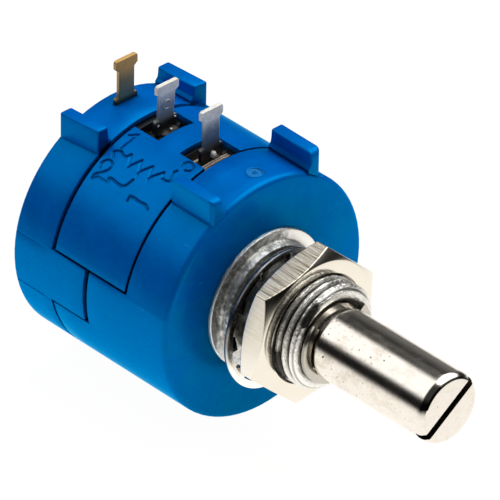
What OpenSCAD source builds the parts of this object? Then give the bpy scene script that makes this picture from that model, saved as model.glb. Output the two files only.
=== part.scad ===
// Ten-turn panel potentiometer. The shaft points to -Y, the terminals to +Z,
// and the face that lies against the panel is at Y = 0. All sizes in millimetres.

/* [Casing] */
// Radius of the blue casing
body_r = 11.1; // [10.4:0.1:14]
// From the panel face to the front of the casing
body_y = 1.14; // [0.9:0.02:2]
// Length of the casing
body_len = 18.46; // [17.8:0.02:24]
// Thickness of the front lid's disc
front_disc = 1.36; // [1:0.02:2]
// Thickness of the rear lid's disc
rear_disc = 1.22; // [1:0.02:2]
// Thickness of the lids' skirts
skirt = 0.57; // [0.4:0.01:0.9]
// Thickness of the housing tube inside the lids
tube_wall = 0.6; // [0.4:0.01:1]
// Length of the front lid's ring
front_ring = 5.08; // [4:0.02:6]
// Length of the rear lid's ring
rear_ring = 4.66; // [4:0.02:6]
// Width of the seams between housing and lids
seam = 0.1; // [0.04:0.01:0.3]
// Half angle of the raised saddle that carries the marks
saddle_half = 76.5; // [60:0.5:85]
// Angle of each side tongue of the rear lid
tongue_angle = 26.5; // [12:0.5:32]
// How far the side tongues reach past the rear seam
tongue_len = 3.9; // [2:0.1:6]
// Gap in front of each tongue
tongue_gap = 0.4; // [0.1:0.05:1]
// Size of the rounding along the casing's front edge
edge_round = 0.45; // [0.2:0.05:0.9]

/* [Windows] */
// Width of the two windows in the saddle
window_w = 4; // [3.6:0.1:6]
// Length of the window beside the front seam
front_window = 3.12; // [2.6:0.02:4]
// Length of the window beside the rear seam
rear_window = 3.05; // [2.6:0.02:4]
// Ledge that the housing tube leaves round each window
window_ledge = 0.25; // [0.1:0.05:0.5]

/* [Horns] */
// From the middle to the outer face of each horn
horn_x = 5.95; // [4.5:0.05:7]
// Width of a horn
horn_w = 1.25; // [0.8:0.05:2]
// Height of the horns above the crown of the casing
horn_h = 0.58; // [0.3:0.02:2]
// How far the rear horns stop short of the rear face
horn_back = 0.15; // [0:0.05:2]

/* [Terminals] */
// Thickness of the terminal strip
lug_t = 0.4; // [0.25:0.05:0.6]
// Width of the blade
lug_w = 1.74; // [1.2:0.02:2.2]
// Width of the head and of the shoulders
lug_head_w = 2.4; // [2.3:0.02:3]
// Height of the terminals above the crown of the casing
lug_h = 4.1; // [2.6:0.1:8]
// Height of the head's straight edge
lug_head_h = 0.8; // [0.5:0.05:1.2]
// Height of the shoulders above the crown of the casing
lug_shoulder_h = 0.5; // [0.3:0.05:1]
// Terminal 2, from the rear face of the casing
lug_2_back = 1.51; // [1.4:0.01:1.8]

/* [Bushing] */
// Radius of the bushing thread
thread_r = 4.7625; // [4.3:0.0025:5.8]
// Depth of the bushing thread
thread_depth = 0.45; // [0.3:0.01:0.6]
// Length of the threaded bushing in front of the panel face
bushing_len = 7.1; // [6.4:0.1:12]
// Step from the thread out to the boss that meets the panel
boss_step = 0.44; // [0.3:0.01:1]
// Height of the boss above the flange
boss_h = 0.84; // [0.4:0.02:1.2]
// Step from the boss out to the flange
flange_step = 1.05; // [0.5:0.05:2]
// Depth of the relief groove beside the boss
relief_depth = 0.81; // [0.5:0.01:1]
// Length of the relief groove
relief_len = 1.6; // [1:0.1:2.4]
// Step from the thread in to the bushing's tail
tail_step = 0.26; // [0.1:0.02:0.5]
// Width of the tail's rolled edge inside the front lid
tail_lip_w = 0.6; // [0.3:0.05:1]
// Thickness of the tail's rolled edge
tail_lip = 0.45; // [0.3:0.05:0.8]

/* [Nut and washer] */
// Width of the nut across its flats
nut_af = 12.7; // [12:0.1:16]
// Thickness of the nut
nut_t = 2.36; // [1.8:0.02:3.2]
// From the panel face to the nut
nut_gap = 2.66; // [2:0.02:3.2]
// How far the nut is turned on the thread
nut_angle = 12.7; // [0:0.1:59]
// Width of the lock washer, teeth included
washer_w = 1.22; // [1:0.02:2]
// Width of the lock washer's rim
washer_rim = 0.67; // [0.5:0.01:0.8]
// Thickness of the lock washer
washer_t = 0.4; // [0.3:0.02:0.6]
// Play between the lock washer's teeth and the thread
washer_play = 0.24; // [0.15:0.01:0.4]
// Number of teeth
washer_teeth = 10; // [8:1:12]
// Twist of each tooth
washer_twist = 14; // [5:1:20]
// How far the lean of the loose washer moves its rim
washer_lift = 0.596; // [0.3:0.002:0.65]

/* [Shaft] */
// Radius of the shaft
shaft_r = 3.175; // [2.6:0.005:3.5]
// From the panel face to the tip of the shaft
shaft_len = 20.6; // [17:0.1:40]
// Depth of the tip's bevel into the shaft
tip_bevel = 0.25; // [0.1:0.05:0.6]
// Length of the tip's bevel along the shaft
tip_bevel_len = 0.55; // [0.1:0.05:1]
// Width of the screwdriver slot
slot_w = 0.75; // [0.6:0.05:1.4]
// Depth of the screwdriver slot
slot_depth = 1; // [0.5:0.05:2]
// Angle of the screwdriver slot
slot_angle = 55; // [0:1:179]
// Depth of the retaining ring's groove
groove_depth = 0.32; // [0.2:0.01:0.5]
// How far the retaining ring stands out from the shaft
ring_out = 0.625; // [0.4:0.025:1]
// Thickness of the retaining ring
ring_t = 0.5; // [0.3:0.05:0.8]
// Opening angle of the retaining ring
ring_open = 95; // [60:5:120]
// Radius of the shaft inside the rotor
core_r = 2.5; // [2:0.05:2.8]
// Radius of the shaft's rear pin
pin_r = 1.5; // [1.2:0.05:1.9]

/* [Inside] */
// Gap between the rotor's flanges and the resistance element
rotor_gap = 0.95; // [0.6:0.05:1.4]
// Radius of the rotor between the flanges
rotor_core_r = 4.2; // [4:0.05:5]
// Thickness of the rotor's flanges
rotor_flange = 1.2; // [0.8:0.05:1.5]
// Half width of the carriage
carriage_half = 2.05; // [1.6:0.05:2.4]
// Length of the carriage
carriage_len = 3; // [2:0.1:3.6]
// Thickness of the guide walls beside the carriage
guide_t = 0.9; // [0.6:0.05:1.2]
// Diameter of the resistance wire on its core
coil_wire = 0.48; // [0.4:0.01:0.5]
// Turns of the resistance element
coil_turns = 10; // [6:1:10]
// Thickness of the collector strip and the slip ring
strip_t = 0.25; // [0.15:0.01:0.35]
// Width of the collector strip
strip_w = 1.6; // [1:0.1:2]

/* [Hidden] */
$fn = 96;

// Clearances
fit_gap = 0.03;     // between pieces that are fixed to each other
run_gap = 0.025;    // round the shaft and the rear pin
slide_gap = 0.05;   // between carriage and guide walls
touch_gap = 0.03;   // between a contact and its track
coil_gap = 0.08;    // between the wiper and the resistance element
pin_gap = 0.15;     // round the pin and the shaft in the thrust washers
bead_gap = 0.005;   // between a weld bead and its terminal
hang_gap = 0.06;    // between the hanging lock washer and the relief groove
past = 1;           // how far a cut runs past a face
edge = 0.1;         // bevel along the bushing's edges

// Casing
rear_y = body_y + body_len;
front_inner_y = body_y + front_disc;
rear_inner_y = rear_y - rear_disc;
front_seam_y = body_y + front_ring;
rear_seam_y = rear_y - rear_ring;
horn_z = body_r + horn_h;
skirt_in_r = body_r - skirt;
tube_out_r = skirt_in_r - fit_gap;
tube_in_r = tube_out_r - tube_wall;
tube_y0 = front_inner_y + fit_gap;
tube_y1 = rear_inner_y - fit_gap;
half_seam = seam / 2;
seam_angle = half_seam / body_r * 180 / PI;
tongue_end = saddle_half + tongue_angle;
round_share = 0.3; // share of the edge rounding where its two flats meet

// Windows
front_window_y1 = front_seam_y + front_window;
rear_window_y0 = rear_seam_y - rear_window;
ledge_w = window_w - 2 * window_ledge;

// Terminals and resistance element
lug_3_y = front_seam_y + front_window / 2;
lug_1_y = rear_seam_y - rear_window / 2;
lug_2_y = rear_y - lug_2_back;
lug_foot_z = tube_in_r;
lug_wing_h = 0.4;
lug_top = body_r + lug_h;
lug_shoulder_z = body_r + lug_shoulder_h;
coil_r = tube_in_r - coil_wire / 2 - touch_gap;
coil_in_r = coil_r - coil_wire / 2;
coil_pitch = (lug_1_y - lug_3_y) / coil_turns;
bead_r = 0.3;
bead_x = 0.9;

// Bushing and washer
boss_r = thread_r + boss_step;
flange_r = boss_r + flange_step;
relief_r = thread_r - relief_depth;
tail_r = thread_r - tail_step;
tail_lip_r = tail_r + tail_lip_w;
washer_bore_r = thread_r + washer_play;
washer_r = washer_bore_r + washer_w;
washer_hang = washer_bore_r - relief_r - hang_gap;
washer_lean = asin(washer_lift / washer_r);
washer_side = 30;  // direction in which the washer hangs down
washer_y = -0.82;
run_out = 0.2;     // slope between the thread and its relief groove
sink_depth = 0.4;  // countersink at the bushing's end
sink_width = 0.55;

// Rotor
lip_y = front_inner_y + fit_gap + tail_lip;
washer_thin = 0.3;
washer_end_gap = 0.02; // between a thrust washer and what it bears on
rotor_r = coil_in_r - rotor_gap;
rotor_y0 = lip_y + washer_thin + 0.15;
brush_room = 0.35;     // between the slip ring and terminal 2
slip_y1 = lug_2_y - lug_t / 2 - brush_room;
rotor_y1 = slip_y1 - strip_t;
slot_floor_depth = 0.25;
slot_floor_z = rotor_core_r - slot_floor_depth;
carriage_y = (lug_1_y + lug_3_y) / 2;
contact_room = 0.35;   // under the carriage, for its lower contact
carriage_z0 = slot_floor_z + strip_t + contact_room;
carriage_rise = 0.4;   // how far the carriage stands above the rotor's flanges
carriage_z1 = rotor_r + carriage_rise;
slot_half = carriage_half + slide_gap;
bearing_r = 3;
bearing_y0 = slip_y1 + brush_room;
bearing_depth = 0.8;
slip_in_r = slot_floor_z - fit_gap;
slip_w = 2.4;
slip_out_r = slip_in_r + slip_w;

// Contact springs
spring_t = 0.12;
spring_w = 0.8;
spring_half = carriage_len / 2 - 0.2;
spring_seat = 0.15;    // height of the wiper's foot
spring_nose = 0.15;    // half width of a contact's nose
brush_w = 1.2;
brush_rise = 3;        // from the slip ring's middle to the brush's upper end
brush_bend = 1.6;
brush_nose = [-0.3, 0.2];

// Shaft
ring_stand = 0.6;      // from the bushing's end to the front of the retaining ring
ring_play = 0.45;      // of the ring in its groove
ring_seat = 0.2;       // between the ring and the groove's floor
ring_angle = 2.5;      // direction of the ring's opening
ring_front_y = -bushing_len - ring_stand;
groove_y0 = ring_front_y - ring_play;
groove_y1 = -bushing_len + 0.1;
groove_r = shaft_r - groove_depth;
ring_r = shaft_r + ring_out;
pin_end_gap = 0.1;
pin_y1 = rear_inner_y + bearing_depth - pin_end_gap;

// A solid turned about the shaft axis from [radius, y] points
module turned(points) {
  rotate([-90, 0, 0]) rotate_extrude() polygon(points);
}

module rod(r, y0, y1) {
  translate([0, y0, 0]) rotate([-90, 0, 0]) cylinder(r = r, h = y1 - y0);
}

module tube(r_out, r_in, y0, y1) {
  difference() {
    rod(r_out, y0, y1);
    rod(r_in, y0 - past, y1 + past);
  }
}

// A wedge from angle a0 to a1, counted from the terminals towards +X
module wedge(y0, y1, a0, a1) {
  steps = 12;
  reach = 2 * body_r;
  arc = [
    for (i = [0:steps])
      let (a = a0 - 90 + (a1 - a0) * i / steps)
      reach * [cos(a), sin(a)]
  ];
  translate([0, y0, 0]) rotate([-90, 0, 0])
    linear_extrude(y1 - y0) polygon(concat([[0, 0]], arc));
}

// A flat strip cut to an [x, z] outline
module stamped(points, y, t) {
  translate([0, y + t / 2, 0]) rotate([90, 0, 0])
    linear_extrude(t) polygon(points);
}

// A strip of width w bent to a [y, z] outline
module bent(points, w) {
  translate([-w / 2, 0, 0]) rotate([90, 0, 90])
    linear_extrude(w) polygon(points);
}

module centred_box(w, y0, y1, z0, z1) {
  translate([-w / 2, y0, z0]) cube([w, y1 - y0, z1 - z0]);
}

module horn_pair(y0, y1) {
  for (side = [-1, 1])
    translate([side * (horn_x - horn_w / 2), 0, 0])
      centred_box(horn_w, y0, y1, skirt_in_r - 2 * past, horn_z);
}

module front_lid() color("royalblue") {
  r = edge_round;
  difference() {
    union() {
      turned([
        [0, body_y], [body_r - r, body_y],
        [body_r - round_share * r, body_y + round_share * r],
        [body_r, body_y + r], [body_r, front_seam_y - half_seam],
        [0, front_seam_y - half_seam]
      ]);
      difference() {
        rod(body_r, front_seam_y - past, rear_seam_y - half_seam);
        wedge(front_seam_y - half_seam, rear_seam_y + past,
          -saddle_half - seam_angle, saddle_half + seam_angle);
        for (side = [-1, 1])
          wedge(rear_seam_y - tongue_len - tongue_gap, rear_seam_y + past,
            side * (saddle_half - seam_angle), side * (tongue_end + seam_angle));
      }
      horn_pair(body_y, front_seam_y - half_seam);
    }
    rod(skirt_in_r, front_inner_y, rear_y);
    rod(tail_r + fit_gap, body_y - past, rear_y);
  }
}

module rear_lid() color("royalblue") difference() {
  union() {
    difference() {
      union() {
        rod(body_r, rear_seam_y + half_seam, rear_y);
        for (side = [-1, 1])
          intersection() {
            rod(body_r, rear_seam_y - tongue_len, rear_seam_y + past);
            wedge(rear_seam_y - tongue_len, rear_seam_y + past,
              side * (saddle_half + seam_angle), side * (tongue_end - seam_angle));
          }
        horn_pair(rear_seam_y + half_seam, rear_y - horn_back);
      }
      rod(skirt_in_r, 0, rear_inner_y);
    }
    rod(bearing_r, bearing_y0, rear_inner_y + past / 2);
  }
  rod(pin_r + run_gap, bearing_y0 - past, rear_inner_y + bearing_depth);
  centred_box(lug_head_w + 2 * fit_gap, lug_2_y - lug_t / 2 - fit_gap,
    lug_2_y + lug_t / 2 + fit_gap, skirt_in_r - past, horn_z);
}

module window(y0, y1) {
  centred_box(window_w, y0, y1, tube_out_r - past, body_r + past);
}

module ledge_hole(y0, y1) {
  centred_box(ledge_w, y0 + window_ledge, y1 - window_ledge,
    tube_in_r - 2 * past, body_r + past);
}

module housing() color("mediumblue") difference() {
  union() {
    tube(tube_out_r, tube_in_r, tube_y0, tube_y1);
    difference() {
      intersection() {
        tube(body_r, tube_in_r + tube_wall / 2,
          front_seam_y + half_seam, rear_seam_y - half_seam);
        wedge(front_seam_y, rear_seam_y,
          -saddle_half + seam_angle, saddle_half - seam_angle);
      }
      difference() {
        union() {
          window(front_seam_y - past, front_window_y1);
          window(rear_window_y0, rear_seam_y + past);
        }
        rod(tube_out_r, front_seam_y - 2 * past, rear_seam_y + 2 * past);
      }
    }
  }
  ledge_hole(front_seam_y, front_window_y1);
  ledge_hole(rear_window_y0, rear_seam_y);
  centred_box(lug_head_w + 2 * fit_gap, lug_2_y - lug_t, rear_y,
    tube_in_r - past, body_r);
}

module bushing() color("gainsboro") {
  bore = shaft_r + run_gap;
  end_r = thread_r - thread_depth;
  turned([
    [bore, lip_y], [bore, sink_depth - bushing_len], [bore + sink_width, -bushing_len],
    [end_r, -bushing_len], [thread_r, thread_depth - bushing_len],
    [thread_r, -relief_len - run_out], [relief_r, -relief_len], [relief_r, 0],
    [boss_r - edge, 0], [boss_r, edge], [boss_r, boss_h], [flange_r - edge, boss_h],
    [flange_r, boss_h + edge], [flange_r, body_y], [tail_r, body_y],
    [tail_r, front_inner_y + fit_gap], [tail_lip_r, front_inner_y + fit_gap],
    [tail_lip_r, lip_y]
  ]);
}

module mounting_nut() color("silver") {
  y0 = -nut_gap - nut_t;
  y1 = -nut_gap;
  corner_r = nut_af / 2 / cos(30);
  bevel = 0.69;        // length of the bevel outside the corners
  bevel_out = 0.1;     // how far outside the corners it ends
  face_r = nut_af / 2 - 0.25;
  bore = thread_r + run_gap;
  sink = 0.22;
  difference() {
    intersection() {
      translate([0, y0, 0]) rotate([-90, nut_angle, 0])
        rotate([0, 0, -90]) cylinder(r = corner_r, h = nut_t, $fn = 6);
      turned([
        [0, y0], [face_r, y0], [corner_r + bevel_out, y0 + bevel],
        [corner_r + bevel_out, y1 - bevel], [face_r, y1], [0, y1]
      ]);
    }
    turned([
      [0, y0 - past], [bore + sink + past, y0 - past], [bore, y0 + sink],
      [bore, y1 - sink], [bore + sink + past, y1 + past], [0, y1 + past]
    ]);
  }
}

module lock_washer() color("silver") {
  tooth_w = 1.2;
  tooth_t = 0.8 * washer_t;
  tooth_root = 0.3;    // how far the rim covers a tooth
  rotate([0, washer_side, 0]) translate([0, washer_y, -washer_hang])
    rotate([0, -washer_side, 0]) rotate([0, 0, washer_lean]) {
    tube(washer_r, washer_r - washer_rim, -washer_t / 2, washer_t / 2);
    for (i = [0:washer_teeth - 1])
      rotate([0, (i + 0.5) * 360 / washer_teeth, 0])
        translate([0, 0, (washer_bore_r + washer_r - tooth_root) / 2])
          rotate([0, 0, washer_twist])
            cube([tooth_w, tooth_t, washer_w - tooth_root], center = true);
  }
}

module retaining_ring() color("silver") difference() {
  tube(ring_r, groove_r + ring_seat, ring_front_y, ring_front_y + ring_t);
  wedge(ring_front_y - past, ring_front_y + ring_t + past,
    ring_angle - ring_open / 2, ring_angle + ring_open / 2);
}

module shaft() color("gainsboro") {
  tip_y = -shaft_len;
  difference() {
    turned([
      [0, tip_y], [shaft_r - tip_bevel, tip_y], [shaft_r, tip_y + tip_bevel_len],
      [shaft_r, groove_y0], [groove_r, groove_y0], [groove_r, groove_y1],
      [shaft_r, groove_y1], [shaft_r, rotor_y0], [core_r, rotor_y0],
      [core_r, rotor_y1], [pin_r, rotor_y1], [pin_r, pin_y1], [0, pin_y1]
    ]);
    rotate([0, slot_angle, 0])
      centred_box(slot_w, tip_y - past, tip_y + slot_depth, -body_r, body_r);
  }
}

// The part of a terminal that shows above the casing, from z0 up
module lug_blade(y, z0) {
  head = lug_head_w / 2;
  blade = lug_w / 2;
  neck_z = lug_top - lug_head_h;
  corner = 0.2;
  half = [
    [head, z0], [head, lug_shoulder_z - corner], [head - corner, lug_shoulder_z],
    [blade, lug_shoulder_z], [blade, neck_z - head + blade], [head, neck_z],
    [head, lug_top - corner], [head - corner, lug_top]
  ];
  count = len(half);
  mirrored = [for (i = [0:count - 1]) [-half[count - 1 - i][0], half[count - 1 - i][1]]];
  stamped(concat(half, mirrored), y, lug_t);
}

module end_terminal(y) {
  wing = ledge_w / 2 - fit_gap;
  lug_blade(y, lug_foot_z);
  stamped([
    [-wing, lug_foot_z], [wing, lug_foot_z],
    [wing, lug_foot_z + lug_wing_h], [-wing, lug_foot_z + lug_wing_h]
  ], y, lug_t);
}

module terminal_1() color("silver") end_terminal(lug_1_y);

module terminal_3() color("silver") end_terminal(lug_3_y);

module terminal_2() color("goldenrod") {
  tail = lug_w / 2;
  tail_z = slip_in_r + 1;
  lug_blade(lug_2_y, tube_in_r - tube_wall);
  stamped([
    [-tail, tail_z], [tail, tail_z], [tail, tube_in_r], [-tail, tube_in_r]
  ], lug_2_y, lug_t);
}

// A bead lies against its terminal and on the turn of wire beside it
module end_welds() color("white") {
  out = lug_t / 2 + bead_r;
  reach = coil_wire / 2 + bead_r + touch_gap;
  aside = out - coil_pitch;
  height = coil_r + sqrt(max(0, reach * reach - aside * aside));
  for (end = [[lug_3_y, 1], [lug_1_y, -1]])
    translate([bead_x, end[0] + end[1] * out, sqrt(height * height - bead_x * bead_x)])
      sphere(r = bead_r - bead_gap);
}

// A wound wire swept along its helix, one turn nearer the shaft's tip for each turn clockwise
module resistance_element() color("darkgoldenrod") {
  turn_steps = 30;
  sides = 6;
  last = turn_steps * coil_turns;
  points = [
    for (i = [0:last], j = [0:sides - 1])
      let (turn = 360 * i / turn_steps, side = 360 * j / sides)
      let (r = coil_r + coil_wire / 2 * cos(side))
      [
        r * sin(turn),
        lug_1_y - coil_pitch * i / turn_steps + coil_wire / 2 * sin(side),
        r * cos(turn)
      ]
  ];
  skin = [
    for (i = [0:last - 1], j = [0:sides - 1])
      let (a = i * sides + j, b = i * sides + (j + 1) % sides)
      [a, b, b + sides, a + sides]
  ];
  caps = [[for (j = [sides - 1:-1:0]) j], [for (j = [0:sides - 1]) last * sides + j]];
  polyhedron(points, concat(skin, caps), convexity = 10);
}

module rotor() color("ivory") difference() {
  union() {
    rod(rotor_core_r, rotor_y0, rotor_y1);
    rod(rotor_r, rotor_y0, rotor_y0 + rotor_flange);
    rod(rotor_r, rotor_y1 - rotor_flange, rotor_y1);
    intersection() {
      rod(rotor_r, rotor_y0, rotor_y1);
      for (side = [-1, 1])
        translate([side * (slot_half + guide_t / 2), 0, 0])
          centred_box(guide_t, rotor_y0, rotor_y1, 0, rotor_r);
    }
  }
  rod(core_r + 0.01, rotor_y0 - past, rotor_y1 + past);
  centred_box(2 * slot_half, rotor_y0 + rotor_flange, rotor_y1 - rotor_flange,
    slot_floor_z, rotor_r + past);
  centred_box(strip_w + 2 * fit_gap, rotor_y0 + rotor_flange, rotor_y1 + past,
    slot_floor_z, slot_floor_z + strip_t + fit_gap);
}

module front_thrust_washer() color("dimgray")
  tube(tail_lip_r - 2 * pin_gap, shaft_r + pin_gap,
    lip_y + washer_end_gap, lip_y + washer_end_gap + washer_thin);

module rear_thrust_washer() color("dimgray")
  tube(bearing_r - 2 * pin_gap, pin_r + pin_gap,
    bearing_y0 - washer_end_gap - washer_thin, bearing_y0 - washer_end_gap);

module wiper_carriage() color("white")
  centred_box(2 * carriage_half, carriage_y - carriage_len / 2,
    carriage_y + carriage_len / 2, carriage_z0, carriage_z1);

module wiper_contact() color("gold") {
  tip_z = coil_in_r - coil_gap;
  seat_z = carriage_z1 + spring_seat;
  y0 = carriage_y - spring_half;
  y1 = carriage_y + spring_half;
  bent([
    [y0, carriage_z1], [y1, carriage_z1], [y1, seat_z],
    [carriage_y + spring_nose, tip_z], [carriage_y - spring_nose, tip_z], [y0, seat_z]
  ], spring_w);
}

module collector_strip() color("gold")
  centred_box(strip_w, rotor_y0 + rotor_flange + fit_gap, rotor_y1,
    slot_floor_z, slot_floor_z + strip_t);

module collector_contact() color("gold") {
  low_z = slot_floor_z + strip_t + touch_gap;
  seat_z = carriage_z0 - spring_t;
  y0 = carriage_y - spring_half;
  y1 = carriage_y + spring_half;
  bent([
    [y1, carriage_z0], [y0, carriage_z0], [y0, seat_z],
    [carriage_y - spring_nose, low_z], [carriage_y + spring_nose, low_z], [y1, seat_z]
  ], spring_w);
}

module slip_ring() color("gold")
  tube(slip_out_r, slip_in_r, rotor_y1, slip_y1);

module brush() color("gold") {
  y1 = lug_2_y - lug_t / 2;
  z_tip = (slip_in_r + slip_out_r) / 2;
  y_tip = slip_y1 + touch_gap;
  low_z = z_tip + brush_nose[0];
  nose_z = z_tip + brush_nose[1];
  bend_z = z_tip + brush_bend;
  top_z = z_tip + brush_rise;
  bent([
    [y1, top_z], [y1 - spring_t, top_z], [y1 - spring_t, bend_z],
    [y_tip, nose_z], [y_tip, low_z], [y_tip + spring_t, low_z],
    [y_tip + spring_t, nose_z], [y1, bend_z]
  ], brush_w);
}

front_lid();
rear_lid();
housing();
bushing();
mounting_nut();
lock_washer();
retaining_ring();
shaft();
terminal_1();
terminal_2();
terminal_3();
end_welds();
resistance_element();
rotor();
front_thrust_washer();
rear_thrust_washer();
wiper_carriage();
wiper_contact();
collector_strip();
collector_contact();
slip_ring();
brush();
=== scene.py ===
import bmesh
import bpy
from math import asin, atan2, cos, degrees, hypot, pi, radians, sin
from mathutils import Matrix, Vector, noise


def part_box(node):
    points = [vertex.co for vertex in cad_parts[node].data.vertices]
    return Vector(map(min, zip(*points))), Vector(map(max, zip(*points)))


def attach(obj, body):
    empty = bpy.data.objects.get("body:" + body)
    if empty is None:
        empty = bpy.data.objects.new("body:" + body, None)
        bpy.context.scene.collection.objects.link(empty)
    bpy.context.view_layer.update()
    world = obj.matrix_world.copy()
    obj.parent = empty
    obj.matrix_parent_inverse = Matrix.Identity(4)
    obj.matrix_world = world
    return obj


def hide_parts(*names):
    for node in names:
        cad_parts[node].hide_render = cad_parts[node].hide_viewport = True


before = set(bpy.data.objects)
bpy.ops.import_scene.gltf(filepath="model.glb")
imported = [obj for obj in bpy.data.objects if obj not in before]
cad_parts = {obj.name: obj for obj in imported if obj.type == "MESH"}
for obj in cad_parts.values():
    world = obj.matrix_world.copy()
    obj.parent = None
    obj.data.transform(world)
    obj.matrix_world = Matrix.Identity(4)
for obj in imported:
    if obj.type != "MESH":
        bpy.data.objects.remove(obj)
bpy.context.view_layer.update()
mm = 0.001
print("frame loaded")


# boxes and places, all in millimetres; an angle counts from the terminals towards +X
def boxOf(node):
    low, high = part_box(node)
    return [v / mm for v in low], [v / mm for v in high]


def around(angle, radius, y):
    turn = radians(angle)
    return Vector((radius * sin(turn), y, radius * cos(turn)))


def angleOf(point):
    return degrees(atan2(point[0], point[2]))


def radiusOf(point):
    return hypot(point[0], point[2])


# node maths
class Wire:  # one output socket, so that node maths reads as sums
    def __init__(self, finish, socket):
        self.finish, self.socket = finish, socket

    def maths(self, operation, a, b):
        return self.finish.maths(operation, a, b)

    def __add__(self, other):
        return self.maths("ADD", self, other)

    __radd__ = __add__

    def __sub__(self, other):
        return self.maths("SUBTRACT", self, other)

    def __rsub__(self, other):
        return self.maths("SUBTRACT", other, self)

    def __mul__(self, other):
        return self.maths("MULTIPLY", self, other)

    __rmul__ = __mul__

    def __truediv__(self, other):
        return self.maths("DIVIDE", self, other)

    def __rtruediv__(self, other):
        return self.maths("DIVIDE", other, self)

    def __pow__(self, other):
        return self.maths("POWER", self, other)

    def over(self, limit):
        return self.maths("GREATER_THAN", self, limit)

    def clamped(self):
        return self.finish.node("ShaderNodeClamp", {}, {0: self})


class Finish:  # one material, put together node by node
    def __init__(self, name, world=False):
        if world:
            self.owner = bpy.data.worlds.new(name)
        else:
            self.owner = bpy.data.materials.new(name)
        self.owner.use_nodes = True
        self.tree = self.owner.node_tree
        self.tree.nodes.clear()

    def node(self, kind, settings=None, inputs=None, output=0):
        made = self.tree.nodes.new(kind)
        for name, value in (settings or {}).items():
            if name == "stops":
                self.setStops(made.color_ramp, value)
            else:
                setattr(made, name, value)
        for name, value in (inputs or {}).items():
            if isinstance(value, Wire):
                self.tree.links.new(value.socket, made.inputs[name])
            elif value is not None:
                made.inputs[name].default_value = value
        return Wire(self, made.outputs[output] if len(made.outputs) else None)

    def setStops(self, ramp, stops):
        while len(ramp.elements) > 1:
            ramp.elements.remove(ramp.elements[-1])
        for i, (place, colour) in enumerate(stops):
            stop = ramp.elements[0] if i == 0 else ramp.elements.new(place)
            stop.position = place
            stop.color = (*colour, 1) if len(colour) == 3 else (*colour * 3, 1)

    def maths(self, operation, a, b=None):
        return self.node("ShaderNodeMath", {"operation": operation}, {0: a, 1: b})

    def place(self, scale=(1, 1, 1), turn=(0, 0, 0)):  # object coordinates in mm
        coords = self.node("ShaderNodeTexCoord", output="Object")
        toMm = (1 / mm, 1 / mm, 1 / mm)
        inMm = self.node("ShaderNodeMapping", {}, {"Vector": coords, "Scale": toMm})
        return self.node("ShaderNodeMapping", {},
                         {"Vector": inMm, "Rotation": turn, "Scale": scale})

    def axes(self, place):
        parts = self.node("ShaderNodeSeparateXYZ", {}, {0: place})
        return [Wire(self, out) for out in parts.socket.node.outputs]

    def noise(self, place, scale, detail=2.0, rough=0.5, bend=0.0):
        return self.node("ShaderNodeTexNoise", {"noise_dimensions": "3D"},
                         {"Vector": place, "Scale": scale, "Detail": detail,
                          "Roughness": rough, "Distortion": bend})

    def ramp(self, value, stops):
        return self.node("ShaderNodeValToRGB", {"stops": stops}, {0: value})

    def level(self, value, *stops):  # a number that follows (place, level) pairs
        return self.grey(self.ramp(value, [(place, (tone,)) for place, tone in stops]))

    def mix(self, factor, a, b):
        return self.node("ShaderNodeMix", {"data_type": "RGBA"}, {0: factor, 6: a, 7: b}, 2)

    def hollow(self, reach):  # how shut in a place is, by what stands within reach mm
        openness = self.node("ShaderNodeAmbientOcclusion", {"samples": 6},
                             {"Distance": reach * mm}, "AO")
        return (1 - openness).clamped()

    def grey(self, colour):
        return self.node("ShaderNodeRGBToBW", {}, {0: colour})

    def bump(self, height, strength, distance, under=None):  # distance in mm
        return self.node("ShaderNodeBump", {},
                         {"Strength": strength, "Distance": distance * mm,
                          "Height": height, "Normal": under})

    def sheened(self, colour, rough, normal):  # matt colour under a gloss of its own tint
        matt = self.node("ShaderNodeBsdfPrincipled", {}, {
            "Base Color": colour, "Roughness": plastic["mattRoughness"],
            "Specular IOR Level": 0.0, "Normal": normal})
        gloss = self.node("ShaderNodeBsdfPrincipled", {}, {
            "Base Color": plastic["sheen"], "Specular Tint": plastic["edgeTint"],
            "Metallic": 1.0, "Roughness": rough, "Normal": normal})
        share = self.node("ShaderNodeFresnel", {}, {"IOR": plastic["ior"], "Normal": normal})
        both = self.node("ShaderNodeMixShader", {}, {0: share, 1: matt, 2: gloss})
        self.node("ShaderNodeOutputMaterial", {}, {0: both})
        return self.owner

    def surface(self, colour, rough, normal, metallic=1.0, shine=0.5):
        shader = self.node("ShaderNodeBsdfPrincipled", {}, {
            "Base Color": colour, "Metallic": metallic, "Roughness": rough,
            "Specular IOR Level": shine, "Normal": normal})
        self.node("ShaderNodeOutputMaterial", {}, {0: shader})
        return self.owner


def rgb(r, g, b):
    return (r, g, b, 1.0)


# pieces
def turned(bm, points, stops, start=0):
    # spins a line of (radius, y) points about the shaft axis, one run for each (angle, steps)
    verts = [bm.verts.new(around(start, r, y)) for r, y in points]
    edge = [bm.edges.new(pair) for pair in zip(verts, verts[1:])]
    last, angle = verts + edge, start
    for stop, steps in stops:
        last = bmesh.ops.spin(bm, geom=last, cent=(0, 0, 0), axis=(0, 1, 0),
                              angle=radians(stop - angle), steps=steps,
                              use_merge=abs(stop - angle - 360) < 0.001)["geom_last"]
        angle = stop
    bmesh.ops.remove_doubles(bm, verts=bm.verts[:], dist=0.0004)


def lathe(points, steps):
    bm = bmesh.new()
    turned(bm, points, [(360, steps)])
    faceOutwards(bm)
    return bm


def sharpEdges(bm, least):
    return [e for e in bm.edges
            if len(e.link_faces) == 2 and degrees(e.calc_face_angle()) > least]


def rounded(bm, edges, width, segments=2):
    bmesh.ops.bevel(bm, geom=edges, offset=width, offset_type="OFFSET", segments=segments,
                    profile=0.5, affect="EDGES", material=-1, clamp_overlap=True)


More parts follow.
